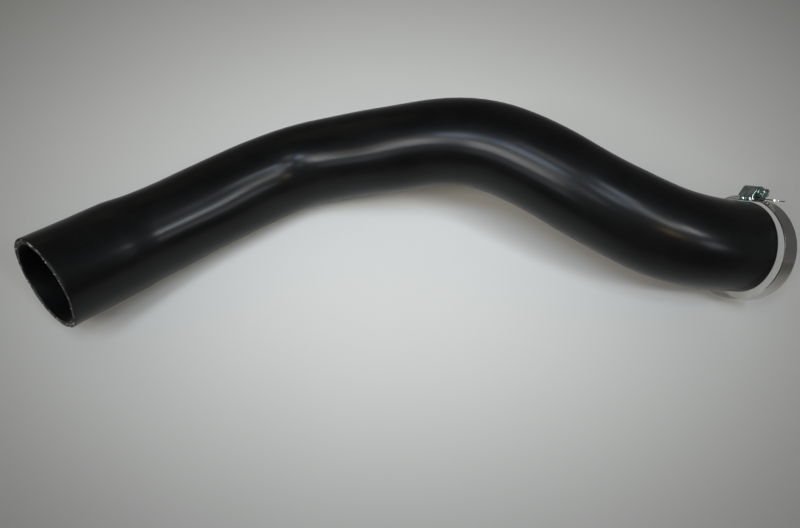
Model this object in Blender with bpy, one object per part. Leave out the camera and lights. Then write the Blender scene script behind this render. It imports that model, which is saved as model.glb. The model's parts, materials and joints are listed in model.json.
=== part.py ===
"""A moulded turbocharger hose, with a loose worm-drive clamp round one end.

Metres, +Z up. The hose lies as it came to rest: the bend beside its wide cuff is flat on the
ground, its middle arches clear, and the open clamp round the far end stands on the ground.
The origin is under the middle of the whole object.
"""
from math import acos, asin, atan2, cos, pi, radians, sin, sqrt

import bmesh
import bpy
from mathutils import Matrix, Vector

MM = 0.001

# Hose: one rubber wall with an open bore, wider in the cuff.
BORE_R = 29.5 * MM
WALL = 4.5 * MM
CUFF_EXTRA_R = 1.2 * MM
CUFF_LENGTH = 56 * MM
CUFF_TAPER = 23 * MM
HOSE_SIDES = 32
RINGS_PER_CORNER = 6

# Middle line of the hose: plan place of each corner, and how far the underside is off the ground.
CORNERS = (
    (-245.5 * MM, -55.0 * MM, 19.0 * MM),
    (-219.5 * MM, -23.0 * MM, 7.5 * MM),
    (-172.5 * MM, 17.0 * MM, 0.0),
    (-124.0 * MM, 54.0 * MM, 0.0),
    (-78.0 * MM, 82.0 * MM, 0.0),
    (-6.0 * MM, 71.5 * MM, 23.5 * MM),
    (64.5 * MM, 70.0 * MM, 43.0 * MM),
    (129.5 * MM, 20.5 * MM, 35.5 * MM),
)
OUTLET_X = 254.5 * MM
OUTLET_Y = -12.5 * MM
OUTLET_RUN = 60 * MM
OUTLET_HEADING = radians(5.7)
OUTLET_DIP = radians(14.0)

# Clamp: its place on the hose.
SEAT_TURN = radians(43)
BAND_PAST_CUT = 1.2 * MM
BAND_SWING = radians(8.5)
BAND_SLACK = 3.9 * MM
GAP = 0.3 * MM

# Clamp band: a steel strip whose free end runs over its fixed end and out as a tail.
BAND_WIDTH = 12.0 * MM
BAND_THICKNESS = 0.8 * MM
FLAT_BEND_R = 20 * MM
TAIL_LENGTH = 18 * MM
TIP_CORNER_R = 4 * MM
TIP_CORNER_STEPS = 4
RAMP_ANGLE = radians(30)
PLAIN_STEP = 3.3 * MM
SLOT_COUNT = 24
SLOT_PITCH = 3.0 * MM
SLOT_WIDTH = 1.4 * MM
SLOT_REACH = 8.0 * MM
SLOT_SLANT = 0.12
SLOT_TO_TIP = 6.0 * MM

# Clamp housing: pressed steel, round the band and the screw.
SHEET = 0.8 * MM
HOUSING_LENGTH = 12 * MM
HOUSING_SIDES = 12

# Clamp screw: a worm with a collar and a slotted hexagon head.
WORM_R = 3.3 * MM
NECK_R = 2.2 * MM
COLLAR_LIP = 0.3 * MM
COLLAR_THICKNESS = 1.0 * MM
HEAD_FLATS = 6
HEAD_ACROSS_FLATS = 6.0 * MM
HEAD_HEIGHT = 4.0 * MM
SCREW_TIP = 0.6 * MM
SLOT_IN_HEAD_WIDTH = 1.0 * MM
SLOT_IN_HEAD_DEPTH = 1.3 * MM
SCREW_SIDES = 24

# Sizes that follow from those above.
HOSE_R = BORE_R + WALL
BAND_R = HOSE_R + BAND_SLACK + BAND_THICKNESS / 2
FLAT_HALF = HOUSING_LENGTH / 2 + GAP
FLAT_Y = FLAT_BEND_R + sqrt((BAND_R - FLAT_BEND_R) ** 2 - FLAT_HALF ** 2)
LAP = BAND_THICKNESS + GAP
SADDLE_TOP_Y = FLAT_Y - BAND_THICKNESS / 2 - GAP
SADDLE_Y = SADDLE_TOP_Y - SHEET
LAP_TOP_Y = FLAT_Y + LAP + BAND_THICKNESS / 2
HEAD_CORNER_R = HEAD_ACROSS_FLATS / 2 / cos(pi / HEAD_FLATS)
COLLAR_R = max(HEAD_CORNER_R, WORM_R) + COLLAR_LIP
SCREW_Y = LAP_TOP_Y + GAP + COLLAR_R
BAND_DROP = SADDLE_Y - HOSE_R - GAP
TAIL_X = HOUSING_LENGTH / 2 + TAIL_LENGTH

# Faces that meet at more than this angle have a hard edge between them.
EDGE_ANGLE = radians(35)


def clear_scene():
    """Removes every object that is already there."""
    for old in list(bpy.data.objects):
        bpy.data.objects.remove(old, do_unlink=True)


def material(name, colour, roughness, metallic):
    """A plain surface with its colour, roughness and metal value."""
    made = bpy.data.materials.new(name)
    made.use_nodes = True
    shader = made.node_tree.nodes["Principled BSDF"]
    shader.inputs["Base Color"].default_value = (*colour, 1.0)
    shader.inputs["Roughness"].default_value = roughness
    shader.inputs["Metallic"].default_value = metallic
    return made


def add_object(name, bm, finish, parent):
    """Makes a smooth-shaded object from a bmesh, carried by its parent."""
    bmesh.ops.recalc_face_normals(bm, faces=bm.faces)
    mesh = bpy.data.meshes.new(name)
    bm.to_mesh(mesh)
    bm.free()
    mesh.shade_smooth()
    mesh.set_sharp_from_angle(angle=EDGE_ANGLE)
    if finish:
        mesh.materials.append(finish)
    made = bpy.data.objects.new(name, mesh)
    made.parent = parent
    bpy.context.collection.objects.link(made)
    return made


def add_empty(name, parent=None):
    """An empty that carries other objects."""
    made = bpy.data.objects.new(name, None)
    made.parent = parent
    bpy.context.collection.objects.link(made)
    return made


def join_solid(target, tool, operation):
    """Adds a Boolean of the tool to the target, and hides the tool."""
    step = target.modifiers.new(tool.name, "BOOLEAN")
    step.operation = operation
    step.object = tool
    tool.hide_render = True
    tool.display_type = "WIRE"


def smooth_step(share):
    """Rises from 0 to 1 with level ends, as 3 t squared less 2 t cubed."""
    t = min(max(share, 0.0), 1.0)
    return t * t * (3 - 2 * t)


def outlet_frame():
    """Directions at the outlet: out along the hose, up square to it, and level to its far side."""
    level = Vector((cos(OUTLET_HEADING), sin(OUTLET_HEADING), 0))
    out = cos(OUTLET_DIP) * level - Vector((0, 0, sin(OUTLET_DIP)))
    far = Vector((0, 0, 1)).cross(out).normalized()
    return out, out.cross(far), far


def band_frame():
    """Directions of the clamp: along its tail, out through its housing, and back along the hose."""
    out, up, far = outlet_frame()
    seat = up * cos(SEAT_TURN) + far * sin(SEAT_TURN)
    tail = out.cross(seat)
    axis = out * cos(BAND_SWING) - tail * sin(BAND_SWING)
    return axis.cross(seat), seat, -axis


def band_offset():
    """Middle of the band from the middle of the outlet's cut: past the cut, and dropped off its seat."""
    out = outlet_frame()[0]
    seat = band_frame()[1]
    return out * BAND_PAST_CUT - seat * BAND_DROP


def outlet_centre():
    """Middle of the outlet's cut, at the height that stands the band's lowest edge on the ground."""
    axis_rise = abs(band_frame()[2].z)
    reach = (BAND_R + BAND_THICKNESS / 2) * sqrt(1 - axis_rise ** 2) + BAND_WIDTH / 2 * axis_rise
    return Vector((OUTLET_X, OUTLET_Y, reach - band_offset().z))


def route_corners():
    """Corners of the hose's middle line, from the cuff's mouth to the outlet."""
    corners = [Vector((x, y, HOSE_R + lift)) for x, y, lift in CORNERS]
    end = outlet_centre()
    return corners + [end - outlet_frame()[0] * OUTLET_RUN, end]


def hose_route():
    """Points and directions on the cubic B-spline that rounds the corners.

    A mirrored corner beyond each end makes the line start and finish on its end corners.
    """
    corners = route_corners()
    first = 2 * corners[0] - corners[1]
    last = 2 * corners[-1] - corners[-2]
    net = [first, *corners, last]
    points, ways = [], []
    for a, b, c, d in zip(net, net[1:], net[2:], net[3:]):
        for step in range(RINGS_PER_CORNER):
            t = step / RINGS_PER_CORNER
            points.append(((1 - t) ** 3 * a + (3 * t ** 3 - 6 * t ** 2 + 4) * b
                           + (-3 * t ** 3 + 3 * t ** 2 + 3 * t + 1) * c + t ** 3 * d) / 6)
            ways.append((-(1 - t) ** 2 * a + (3 * t ** 2 - 4 * t) * b
                         + (-3 * t ** 2 + 2 * t + 1) * c + t ** 2 * d).normalized())
    points.append(corners[-1])
    ways.append((corners[-1] - corners[-2]).normalized())
    return points, ways


def add_ring(bm, centre, way, radius):
    """A ring of points square to the hose's line."""
    side = way.cross(Vector((0, 0, 1))).normalized()
    up = side.cross(way)
    turns = [2 * pi * i / HOSE_SIDES for i in range(HOSE_SIDES)]
    return [bm.verts.new(centre + radius * (cos(t) * side + sin(t) * up)) for t in turns]


def build_hose(parent):
    """The rubber wall: rings along the outside, back through the bore, and over both cut ends."""
    bm = bmesh.new()
    outside, inside = [], []
    travelled = 0.0
    points, ways = hose_route()
    previous = points[0]
    for point, way in zip(points, ways):
        travelled += (point - previous).length
        previous = point
        flare = CUFF_EXTRA_R * (1 - smooth_step((travelled - CUFF_LENGTH) / CUFF_TAPER))
        outside.append(add_ring(bm, point, way, HOSE_R + flare))
        inside.append(add_ring(bm, point, way, BORE_R + flare))
    rings = outside + inside[::-1]
    for ring, following in zip(rings, rings[1:] + rings[:1]):
        for i in range(HOSE_SIDES):
            j = (i + 1) % HOSE_SIDES
            bm.faces.new((ring[i], ring[j], following[j], following[i]))
    rubber = material("black_rubber", (0.018, 0.019, 0.021), 0.45, 0.0)
    return add_object("hose", bm, rubber, parent)


def band_line(travel):
    """Place on the middle of the band's thickness, at a distance from its fixed end.

    The line is a flat under the housing, a bend, the large round, a bend, and the flat again one
    lap higher, which runs on straight as the tail.
    """
    turn = atan2(FLAT_HALF, FLAT_Y - FLAT_BEND_R)
    bend = FLAT_BEND_R * turn
    round_part = BAND_R * (2 * pi - 2 * turn)
    start = FLAT_HALF - GAP
    along = travel - start
    if along < FLAT_HALF:
        return Vector((along, FLAT_Y))
    along -= FLAT_HALF
    if along < bend:
        angle = along / FLAT_BEND_R
        way = Vector((sin(angle), cos(angle)))
        return Vector((FLAT_HALF, FLAT_Y - FLAT_BEND_R)) + FLAT_BEND_R * way
    along -= bend
    if along < round_part:
        angle = turn + along / BAND_R
        way = Vector((sin(angle), cos(angle)))
        climb = smooth_step((angle - (2 * pi - turn - RAMP_ANGLE)) / RAMP_ANGLE)
        return (BAND_R + LAP * climb) * way
    along -= round_part
    if along < bend:
        angle = along / FLAT_BEND_R - turn
        way = Vector((sin(angle), cos(angle)))
        return Vector((-FLAT_HALF, FLAT_Y - FLAT_BEND_R)) + (FLAT_BEND_R + LAP) * way
    along -= bend
    return Vector((along - FLAT_HALF, FLAT_Y + LAP))


def band_length():
    """Length of the strip from its fixed end to the tip of its tail."""
    turn = atan2(FLAT_HALF, FLAT_Y - FLAT_BEND_R)
    loop = 2 * FLAT_HALF + 2 * FLAT_BEND_R * turn + BAND_R * (2 * pi - 2 * turn)
    return loop - GAP + FLAT_HALF + TAIL_X


def band_stations():
    """Distances along the strip where it has points across, each with its slot's state.

    The state is -1 where a slot starts, 1 where it ends, and 0 elsewhere.
    """
    length = band_length()
    first_slot = length - SLOT_TO_TIP - SLOT_COUNT * SLOT_PITCH
    plain = max(round(first_slot / PLAIN_STEP), 1)
    stations = [(first_slot * i / plain, 0) for i in range(plain)]
    for i in range(SLOT_COUNT):
        stations.append((first_slot + i * SLOT_PITCH, -1))
        stations.append((first_slot + i * SLOT_PITCH + SLOT_WIDTH, 1))
    quarter = [pi / 2 * i / TIP_CORNER_STEPS for i in range(TIP_CORNER_STEPS + 1)]
    stations += [(length - TIP_CORNER_R * (1 - sin(t)), 0) for t in quarter]
    return stations


def build_band(steel, parent):
    """The strip: a sheet of faces with slanted slots, given its thickness."""
    bm = bmesh.new()
    length = band_length()
    rows = []
    for travel, state in band_stations():
        past = max(travel - (length - TIP_CORNER_R), 0.0)
        half = BAND_WIDTH / 2 - TIP_CORNER_R + sqrt(max(TIP_CORNER_R ** 2 - past ** 2, 0.0))
        row = []
        for side, width in ((-1, half), (-1, SLOT_REACH / 2), (1, SLOT_REACH / 2), (1, half)):
            z = side * min(width, half)
            lean = SLOT_SLANT * z if state and width < half else 0.0
            place = band_line(travel + lean)
            row.append(bm.verts.new((place.x, place.y, z)))
        rows.append((row, state))
    for (row, state), (following, _) in zip(rows, rows[1:]):
        for column in range(3):
            if state == -1 and column == 1:
                continue
            corners = (row[column], following[column], following[column + 1], row[column + 1])
            bm.faces.new(corners)
    band = add_object("clamp_band", bm, steel, parent)
    sheet = band.modifiers.new("thickness", "SOLIDIFY")
    sheet.thickness = BAND_THICKNESS
    sheet.offset = 0.0
    sheet.use_even_offset = True
    return band


def keyhole(base_y, half_width, shoulder_y, radius):
    """Outline round the band and screw: flat base, upright sides, shoulders up to a round top."""
    reach = sqrt(half_width ** 2 + (SCREW_Y - shoulder_y) ** 2)
    touch = acos(radius / reach) - asin((SCREW_Y - shoulder_y) / reach)
    sweep = pi - 2 * touch
    arc = [touch + sweep * i / HOUSING_SIDES for i in range(HOUSING_SIDES + 1)]
    top = [(radius * cos(t), SCREW_Y + radius * sin(t)) for t in arc]
    left = [(-half_width, shoulder_y), (-half_width, base_y)]
    right = [(half_width, base_y), (half_width, shoulder_y)]
    return [*right, *top, *left]


def oblong(low_y, high_y, half_width):
    """Outline of a rectangle, as (z, y)."""
    return [(-half_width, low_y), (half_width, low_y), (half_width, high_y), (-half_width, high_y)]


def add_prism(name, outline, length, finish, parent, middle=0.0):
    """A prism along X, as long to each side of its middle."""
    bm = bmesh.new()
    face = bm.faces.new([bm.verts.new((middle - length / 2, y, z)) for z, y in outline])
    grown = bmesh.ops.extrude_face_region(bm, geom=[face])["geom"]
    moved = [v for v in grown if isinstance(v, bmesh.types.BMVert)]
    bmesh.ops.translate(bm, verts=moved, vec=(length, 0, 0))
    return add_object(name, bm, finish, parent)


def circle_outline(radius, sides, y=0.0):
    """Points of a circle round the X axis, as (z, y)."""
    turns = [2 * pi * i / sides for i in range(sides)]
    return [(radius * cos(t), y + radius * sin(t)) for t in turns]


def build_housing(zinc, parent):
    """The pressed housing: walls round both layers of the band, and a chamber for the worm."""
    inner_half = BAND_WIDTH / 2 + GAP
    inner_r = WORM_R + GAP
    outer = keyhole(SADDLE_Y, inner_half + SHEET, LAP_TOP_Y + SHEET, inner_r + SHEET)
    housing = add_prism("clamp_housing", outer, HOUSING_LENGTH, zinc, parent)
    inner = keyhole(SADDLE_TOP_Y, inner_half, LAP_TOP_Y, inner_r)
    chamber = add_prism("worm_chamber", inner, HOUSING_LENGTH - 2 * SHEET, None, parent)
    opening = oblong(SADDLE_TOP_Y, LAP_TOP_Y + GAP, inner_half)
    slot = add_prism("band_slot", opening, 2 * HOUSING_LENGTH, None, parent)
    hole = circle_outline(NECK_R + GAP, SCREW_SIDES, SCREW_Y)
    bore = add_prism("neck_bore", hole, 2 * HOUSING_LENGTH, None, parent)
    for tool in (chamber, slot, bore):
        join_solid(housing, tool, "DIFFERENCE")
    return housing


def turned_profile():
    """Radius steps of the screw along its axis, from its tip to the collar's face."""
    half = HOUSING_LENGTH / 2
    worm_end = half - SHEET - GAP
    return ((-half - SCREW_TIP, NECK_R), (-worm_end, NECK_R), (-worm_end, WORM_R), (worm_end, WORM_R),
            (worm_end, NECK_R), (half + GAP, NECK_R), (half + GAP, COLLAR_R),
            (half + GAP + COLLAR_THICKNESS, COLLAR_R))


def build_screw(zinc, parent):
    """The worm screw, with its origin on its own axis."""
    bm = bmesh.new()
    rings = []
    for x, radius in turned_profile():
        rings.append([bm.verts.new((x, y, z)) for z, y in circle_outline(radius, SCREW_SIDES)])
    for ring, following in zip(rings, rings[1:]):
        for i in range(SCREW_SIDES):
            j = (i + 1) % SCREW_SIDES
            bm.faces.new((ring[i], ring[j], following[j], following[i]))
    bm.faces.new(rings[0])
    bm.faces.new(rings[-1])
    screw = add_object("clamp_screw", bm, zinc, parent)
    screw.location = (0, SCREW_Y, 0)
    collar_face = HOUSING_LENGTH / 2 + GAP + COLLAR_THICKNESS
    head_start = collar_face - COLLAR_THICKNESS / 2
    head_end = collar_face + HEAD_HEIGHT
    hexagon = circle_outline(HEAD_CORNER_R, HEAD_FLATS)
    head = add_prism("hexagon_head", hexagon, head_end - head_start, None, screw,
                     (head_start + head_end) / 2)
    across = oblong(-SLOT_IN_HEAD_WIDTH / 2, SLOT_IN_HEAD_WIDTH / 2, COLLAR_R)
    groove = add_prism("driver_slot", across, 2 * SLOT_IN_HEAD_DEPTH, None, screw, head_end)
    join_solid(screw, head, "UNION")
    join_solid(screw, groove, "DIFFERENCE")
    return screw


def build_clamp(parent):
    """The whole clamp, seated round the outlet."""
    seat = add_empty("clamp_seat", parent)
    tail, through, back = band_frame()
    turn = Matrix((tail, through, back)).transposed().to_4x4()
    seat.matrix_local = Matrix.Translation(outlet_centre() + band_offset()) @ turn
    steel = material("polished_steel", (0.62, 0.61, 0.58), 0.18, 1.0)
    zinc = material("zinc_plate", (0.55, 0.60, 0.56), 0.28, 1.0)
    return build_band(steel, seat), build_housing(zinc, seat), build_screw(zinc, seat)


def centre_on_ground(root, pieces):
    """Moves everything so that the origin is under the middle of its box, on the ground."""
    bpy.context.view_layer.update()
    graph = bpy.context.evaluated_depsgraph_get()
    corners = []
    for piece in pieces:
        shape = piece.evaluated_get(graph)
        corners += [shape.matrix_world @ v.co for v in shape.data.vertices]
    low = Vector([min(c[i] for c in corners) for i in range(3)])
    high = Vector([max(c[i] for c in corners) for i in range(3)])
    root.location = (-(low.x + high.x) / 2, -(low.y + high.y) / 2, -low.z)


def main():
    """Builds the hose and its clamp."""
    clear_scene()
    root = add_empty("turbo_hose")
    pieces = [build_hose(root), *build_clamp(root)]
    centre_on_ground(root, pieces)


main()
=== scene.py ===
"""Dresses a turbocharger hose: moulded black rubber, with a bright worm-drive clamp round its outlet.

Lengths are in metres. X runs along the hose from its wide cuff to its outlet, Y away from the
camera and Z up. The hose and its clamp lie on the ground at z = 0.
"""

import json
import logging
from dataclasses import dataclass, field
from enum import Enum
from math import acos, asin, atan2, cos, pi, radians, sin, sqrt

import bmesh
import bpy
import numpy as np
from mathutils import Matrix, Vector


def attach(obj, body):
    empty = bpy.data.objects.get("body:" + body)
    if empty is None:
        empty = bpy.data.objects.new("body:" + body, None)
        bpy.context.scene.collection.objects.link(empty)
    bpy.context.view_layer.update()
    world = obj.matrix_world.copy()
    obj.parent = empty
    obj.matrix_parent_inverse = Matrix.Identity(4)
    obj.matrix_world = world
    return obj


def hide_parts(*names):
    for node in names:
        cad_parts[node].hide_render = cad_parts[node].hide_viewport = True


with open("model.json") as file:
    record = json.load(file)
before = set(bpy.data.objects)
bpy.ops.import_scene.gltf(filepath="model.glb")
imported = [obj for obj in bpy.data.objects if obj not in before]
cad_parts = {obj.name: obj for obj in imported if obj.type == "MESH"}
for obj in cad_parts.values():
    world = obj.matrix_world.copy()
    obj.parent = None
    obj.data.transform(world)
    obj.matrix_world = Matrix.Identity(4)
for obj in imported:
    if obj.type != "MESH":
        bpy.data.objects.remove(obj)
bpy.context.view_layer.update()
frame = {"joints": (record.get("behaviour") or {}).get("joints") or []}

Array = np.ndarray
Colour = tuple[float, float, float]

MM = 0.001
TURN = 2 * pi
UP = np.array([0.0, 0.0, 1.0])
WELD = 1e-7
HOSE_BODY = "hose_and_clamp"
SCREW_BODY = "screw"
SCREW_JOINT = "screw_turn"
LAID = "laid"
BACKDROP: Colour = (0.105, 0.105, 0.104)
BLACK: Colour = (0.0, 0.0, 0.0)

# The Mix node's sockets for two colours and their mixture, which have a number of their own only.
MIX_FIRST, MIX_SECOND, MIX_RESULT = 6, 7, 2

log = logging.getLogger("turbo_hose")


class Slot(Enum):
    """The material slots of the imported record."""

    RUBBER = "black_rubber"
    STEEL = "polished_steel"
    ZINC = "zinc_plate"


def unit(vectors: Array) -> Array:
    """Scales vectors to length 1: each is divided by the root of the sum of its squares."""
    return vectors / np.linalg.norm(vectors, axis=-1, keepdims=True)


def smooth_step(share: Array) -> Array:
    """Rises from 0 to 1 with level ends: 3 t squared less 2 t cubed, for t held within 0 and 1."""
    t = np.clip(share, 0.0, 1.0)
    return t * t * (3 - 2 * t)


def grid_faces(rows: int, columns: int, closed_rows: bool, closed_columns: bool) -> Array:
    """Numbers the four-sided faces of a grid whose points are counted row by row.

    Face (i, j) joins points (i, j), (i, j + 1), (i + 1, j + 1) and (i + 1, j). The last row or
    column is joined to the first where that direction closes.

    Args:
        rows: number of rows of points.
        columns: number of points in each row.
        closed_rows: whether the last row meets the first.
        closed_columns: whether the last point of a row meets its first.

    Returns:
        One row of four point numbers for each face.
    """
    i = np.arange(rows if closed_rows else rows - 1)[:, None]
    j = np.arange(columns if closed_columns else columns - 1)[None, :]
    after_i = (i + 1) % rows
    after_j = (j + 1) % columns
    corners = (i * columns + j, i * columns + after_j, after_i * columns + after_j, after_i * columns + j)
    return np.stack(corners, axis=-1).reshape(-1, 4)


def repeat_faces(faces: Array, copies: int, points: int) -> Array:
    """Numbers the faces of copies that follow one another, each with the same number of points."""
    return (faces[None] + points * np.arange(copies)[:, None, None]).reshape(-1, 4)


def mesh_from(name: str, points: Array, faces: Array, laid: Array | None = None) -> bpy.types.Mesh:
    """Puts points and four-sided faces into a mesh and welds the points that coincide.

    Args:
        name: the mesh's name.
        points: places of the points, of any shape that ends in 3.
        faces: four point numbers for each face.
        laid: for each point, its place on the piece when that is laid out straight, for materials.

    Returns:
        The mesh, shaded smooth, with its faces pointing outwards.
    """
    mesh = bpy.data.meshes.new(name)
    flat = np.ascontiguousarray(points.reshape(-1, 3), dtype=np.float32)
    count = len(faces)
    mesh.vertices.add(len(flat))
    mesh.vertices.foreach_set("co", flat.ravel())
    mesh.loops.add(4 * count)
    mesh.loops.foreach_set("vertex_index", np.ascontiguousarray(faces, dtype=np.int32).ravel())
    mesh.polygons.add(count)
    mesh.polygons.foreach_set("loop_start", np.arange(count, dtype=np.int32) * 4)
    mesh.update(calc_edges=True)
    if laid is not None:
        stored = mesh.attributes.new(LAID, "FLOAT_VECTOR", "POINT")
        stored.data.foreach_set("vector", laid.astype(np.float32).ravel())
    work = bmesh.new()
    work.from_mesh(mesh)
    bmesh.ops.remove_doubles(work, verts=work.verts, dist=WELD)
    bmesh.ops.recalc_face_normals(work, faces=work.faces)
    work.to_mesh(mesh)
    work.free()
    mesh.shade_smooth()
    return mesh


def close_ends(mesh: bpy.types.Mesh) -> None:
    """Fills each open end of a tube-like mesh with one face and turns the faces outwards.

    Args:
        mesh: the mesh, which is changed.
    """
    work = bmesh.new()
    work.from_mesh(mesh)
    edges = [edge for edge in work.edges if edge.is_boundary]
    bmesh.ops.holes_fill(work, edges=edges, sides=0)
    bmesh.ops.recalc_face_normals(work, faces=work.faces)
    work.to_mesh(mesh)
    work.free()


def show(mesh: bpy.types.Mesh, finish: bpy.types.Material | None) -> bpy.types.Object:
    """Makes an object of a mesh at the origin, with its finish.

    Args:
        mesh: the mesh, with its place in its points.
        finish: its material, or None for a cutter.

    Returns:
        The object.
    """
    if finish:
        mesh.materials.append(finish)
    made = bpy.data.objects.new(mesh.name, mesh)
    bpy.context.scene.collection.objects.link(made)
    return made


def apply_steps(piece: bpy.types.Object) -> None:
    """Keeps a piece's mesh as its modifiers leave it, and removes the modifiers.

    Args:
        piece: the piece.
    """
    graph = bpy.context.evaluated_depsgraph_get()
    finished = bpy.data.meshes.new_from_object(piece.evaluated_get(graph))
    piece.modifiers.clear()
    piece.data = finished


def combine(piece: bpy.types.Object, tool: bpy.types.Object, operation: str = "DIFFERENCE") -> None:
    """Takes a tool's space out of a piece, or adds it, and deletes the tool.

    Args:
        piece: the piece.
        tool: the object whose space is taken out or added.
        operation: DIFFERENCE to take it out, or UNION to add it.
    """
    step = piece.modifiers.new("combined", "BOOLEAN")
    step.operation = operation
    step.object = tool
    apply_steps(piece)
    bpy.data.objects.remove(tool)


def weld(piece: bpy.types.Object, apart: float) -> None:
    """Joins a piece's points that lie closer to each other than a distance.

    Args:
        piece: the piece.
        apart: the distance.
    """
    step = piece.modifiers.new("welded", "WELD")
    step.merge_threshold = apart
    apply_steps(piece)


def round_edges(piece: bpy.types.Object, width: float, sharper_than: float, segments: int = 2) -> None:
    """Rounds a piece's edges where its faces turn by more than an angle, and keeps the result.

    Args:
        piece: the piece, with any other modifier that comes before the rounding.
        width: width of the rounding.
        sharper_than: the least angle between faces that is rounded.
        segments: faces across each rounding.
    """
    step = piece.modifiers.new("rounded_edges", "BEVEL")
    step.width = width
    step.segments = segments
    step.limit_method = "ANGLE"
    step.angle_limit = sharper_than
    step.harden_normals = True
    apply_steps(piece)


@dataclass
class Wiring:
    """Adds nodes to one node tree and joins them."""

    tree: bpy.types.NodeTree

    def add(self, kind: str, feeds: dict[str | int, object] | None = None,
            **settings: object) -> bpy.types.ShaderNode:
        """Adds a node.

        Args:
            kind: the node's type, without its ShaderNode prefix.
            feeds: for each input, by name or number, a value or the socket that feeds it.
            settings: properties of the node.

        Returns:
            The node.
        """
        node = self.tree.nodes.new("ShaderNode" + kind)
        for name, value in settings.items():
            setattr(node, name, value)
        for key, value in (feeds or {}).items():
            self.feed(node.inputs[key], value)
        return node

    def feed(self, entry: bpy.types.NodeSocket, value: object) -> None:
        """Feeds an input from a socket or with a value of its own.

        Args:
            entry: the input.
            value: a socket, a number, a vector, or a colour without its alpha.
        """
        if isinstance(value, bpy.types.NodeSocket):
            self.tree.links.new(value, entry)
        else:
            entry.default_value = (*value, 1.0) if entry.type == "RGBA" else value

    def maths(self, operation: str, *values: object) -> bpy.types.NodeSocket:
        """Adds a sum on one, two or three values and returns its result."""
        return self.add("Math", dict(enumerate(values)), operation=operation).outputs[0]

    def vector(self, operation: str, *values: object) -> bpy.types.NodeSocket:
        """Adds a sum on vectors and returns its vector."""
        return self.add("VectorMath", dict(enumerate(values)), operation=operation).outputs[0]

    def length(self, vector: object) -> bpy.types.NodeSocket:
        """Adds the length of a vector and returns it."""
        return self.add("VectorMath", {0: vector}, operation="LENGTH").outputs["Value"]

    def ramp(self, value: object, low: object, high: object, to_low: float = 0.0,
             to_high: float = 1.0) -> bpy.types.NodeSocket:
        """Carries a value from one range smoothly to another, held at both ends."""
        feeds = {"Value": value, "From Min": low, "From Max": high, "To Min": to_low, "To Max": to_high}
        return self.add("MapRange", feeds, interpolation_type="SMOOTHSTEP").outputs[0]

    def seen(self) -> bpy.types.NodeSocket:
        """Tells what the camera sees from what only lights a surface.

        Returns:
            1 for what the camera sees, also in metal and glass, and 0 for the rest.
        """
        path = self.add("LightPath").outputs
        mirrored = self.maths("MAXIMUM", path["Is Glossy Ray"], path["Is Transmission Ray"])
        return self.maths("MAXIMUM", path["Is Camera Ray"], mirrored)

    def mix(self, share: object, first: object, second: object) -> bpy.types.NodeSocket:
        """Mixes two colours by a share, which is 0 for the first and 1 for the second."""
        feeds = {0: share, MIX_FIRST: first, MIX_SECOND: second}
        return self.add("Mix", feeds, data_type="RGBA").outputs[MIX_RESULT]


def effect(name: str, inputs: dict[str, tuple[str, object]]) -> tuple[bpy.types.NodeTree, Wiring, dict]:
    """Starts a shared effect: a node group with named inputs and one output, Mask.

    Args:
        name: the group's name.
        inputs: for each input, its socket type and its first value.

    Returns:
        The group, its wiring, and its input sockets by name.
    """
    tree = bpy.data.node_groups.new(name, "ShaderNodeTree")
    for label, (kind, value) in inputs.items():
        socket = tree.interface.new_socket(label, in_out="INPUT", socket_type="NodeSocket" + kind)
        if kind == "Float":
            socket.default_value = value
    tree.interface.new_socket("Mask", in_out="OUTPUT", socket_type="NodeSocketFloat")
    wiring = Wiring(tree)
    entry = tree.nodes.new("NodeGroupInput")
    return tree, wiring, {socket.name: socket for socket in entry.outputs if socket.name}


def finish_effect(tree: bpy.types.NodeTree, mask: bpy.types.NodeSocket) -> bpy.types.NodeTree:
    """Joins a shared effect's result to its output.

    Args:
        tree: the group.
        mask: its result.

    Returns:
        The group.
    """
    leave = tree.nodes.new("NodeGroupOutput")
    tree.links.new(mask, leave.inputs["Mask"])
    return tree


class Effects:
    """The effects that several finishes share, each built once as a node group."""

    def __init__(self) -> None:
        """Builds the groups."""
        self.blotches = self._blotches()
        self.lines = self._lines()
        self.specks = self._specks()

    def _blotches(self) -> bpy.types.NodeTree:
        """Soft uneven patches: noise of one size, with its contrast raised between two levels.

        Returns:
            The group.
        """
        tree, wiring, given = effect("soft_blotches", {"Vector": ("Vector", None), "Size": ("Float", 40.0),
                                                       "Low": ("Float", 0.35), "High": ("Float", 0.65)})
        noise = wiring.add("TexNoise", {"Vector": given["Vector"], "Scale": given["Size"], "Detail": 4.0,
                                        "Roughness": 0.55})
        return finish_effect(tree, wiring.ramp(noise.outputs[0], given["Low"], given["High"]))

    def _lines(self) -> bpy.types.NodeTree:
        """Fine lines along Z of the vector: noise of a coordinate that is squeezed along Z.

        Returns:
            The group.
        """
        tree, wiring, given = effect("drawn_lines", {"Vector": ("Vector", None), "Across": ("Float", 900.0),
                                                     "Along": ("Float", 12.0)})
        scale = wiring.add("CombineXYZ", {0: given["Across"], 1: given["Across"], 2: given["Along"]})
        squeezed = wiring.vector("MULTIPLY", given["Vector"], scale.outputs[0])
        noise = wiring.add("TexNoise", {"Vector": squeezed, "Scale": 1.0, "Detail": 3.0, "Roughness": 0.6})
        return finish_effect(tree, noise.outputs[0])

    def _specks(self) -> bpy.types.NodeTree:
        """Small separate marks: the points of a cell pattern that fall within a radius of its centres.

        Returns:
            The group.
        """
        tree, wiring, given = effect("small_specks", {"Vector": ("Vector", None), "Size": ("Float", 300.0),
                                                      "Reach": ("Float", 0.12)})
        cells = wiring.add("TexVoronoi", {"Vector": given["Vector"], "Scale": given["Size"]})
        return finish_effect(tree, wiring.ramp(cells.outputs["Distance"], given["Reach"], 0.0))


@dataclass(frozen=True)
class Blotch:
    """One use of the soft blotches: how many fit in a metre, and the levels that turn to 0 and to 1."""

    size: float
    low: float
    high: float


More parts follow.
